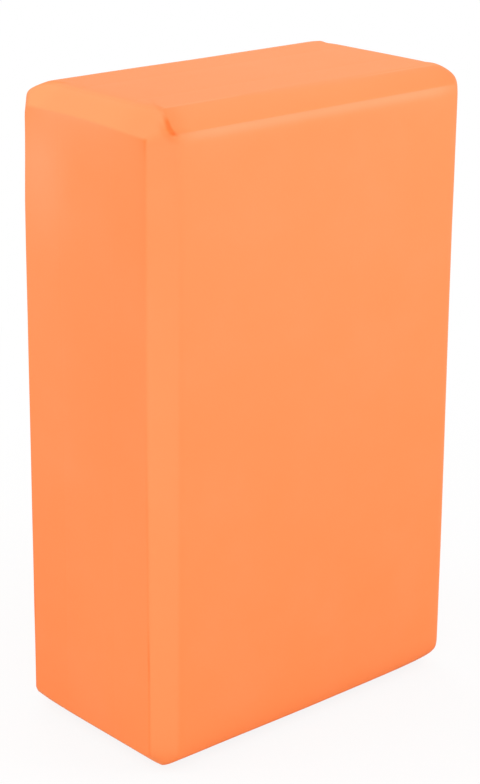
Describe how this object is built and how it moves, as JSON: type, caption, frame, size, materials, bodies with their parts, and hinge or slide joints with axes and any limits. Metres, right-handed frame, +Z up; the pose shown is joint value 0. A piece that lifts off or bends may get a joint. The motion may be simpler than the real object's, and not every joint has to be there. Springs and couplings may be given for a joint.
{
  "type": "yoga block",
  "caption": "Oblong foam yoga block with every edge bevelled, laminated from bonded foam sheets, used as a firm support under a hand, hip or foot.",
  "frame": {"origin": "middle of the bottom end, with the block standing on its end as pictured", "axes": "+Z up along the block's length, +X across the broad faces, +Y from the front broad face to the rear one"},
  "size_m": [0.14, 0.08, 0.23],
  "materials": {
    "foam": "matte closed-cell EVA foam, dyed orange through",
    "glue": "clear hot-melt film that takes the foam's colour"
  },
  "bodies": {
    "root": {"front_foam_sheet": "foam", "front_glue_film": "glue", "middle_foam_sheet": "foam", "rear_glue_film": "glue", "rear_foam_sheet": "foam"}
  },
  "joints": []
}
